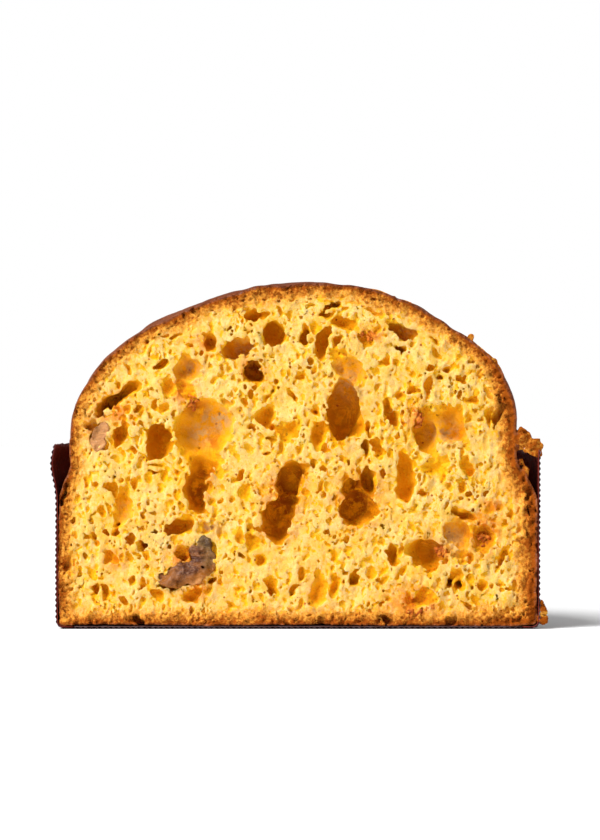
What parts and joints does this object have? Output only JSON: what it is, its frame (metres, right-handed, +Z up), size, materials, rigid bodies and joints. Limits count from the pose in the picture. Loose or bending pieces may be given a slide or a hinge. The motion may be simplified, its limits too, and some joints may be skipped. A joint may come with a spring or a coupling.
{
  "type": "panettone half",
  "caption": "Half of a tall domed fruit panettone cut flat through its crumb, standing in the matching half of its corrugated paper mould.",
  "frame": {"origin": "on the surface that the loaf stands on, under the middle of the bounding box", "axes": "+X across the cut face to the right, +Y from the cut face towards the round back, +Z up"},
  "size_m": [0.2143, 0.1102, 0.149],
  "materials": {
    "bread": "open golden crumb with a dark baked crust",
    "crust": "dark baked crust",
    "mould_paper": "dark brown corrugated paper",
    "candied_fig": "moist purple-brown fruit",
    "caramel": "sticky orange-brown"
  },
  "bodies": {
    "root": {"bread": "bread", "corner_crumb": "crust", "paper_wall": "mould_paper", "paper_base": "mould_paper", "fig_piece_large": "candied_fig", "fig_piece_left": "candied_fig", "caramel_lump_1": "caramel", "caramel_lump_2": "caramel", "caramel_lump_3": "caramel", "caramel_lump_4": "caramel", "caramel_lump_5": "caramel", "caramel_lump_6": "caramel"}
  },
  "joints": []
}
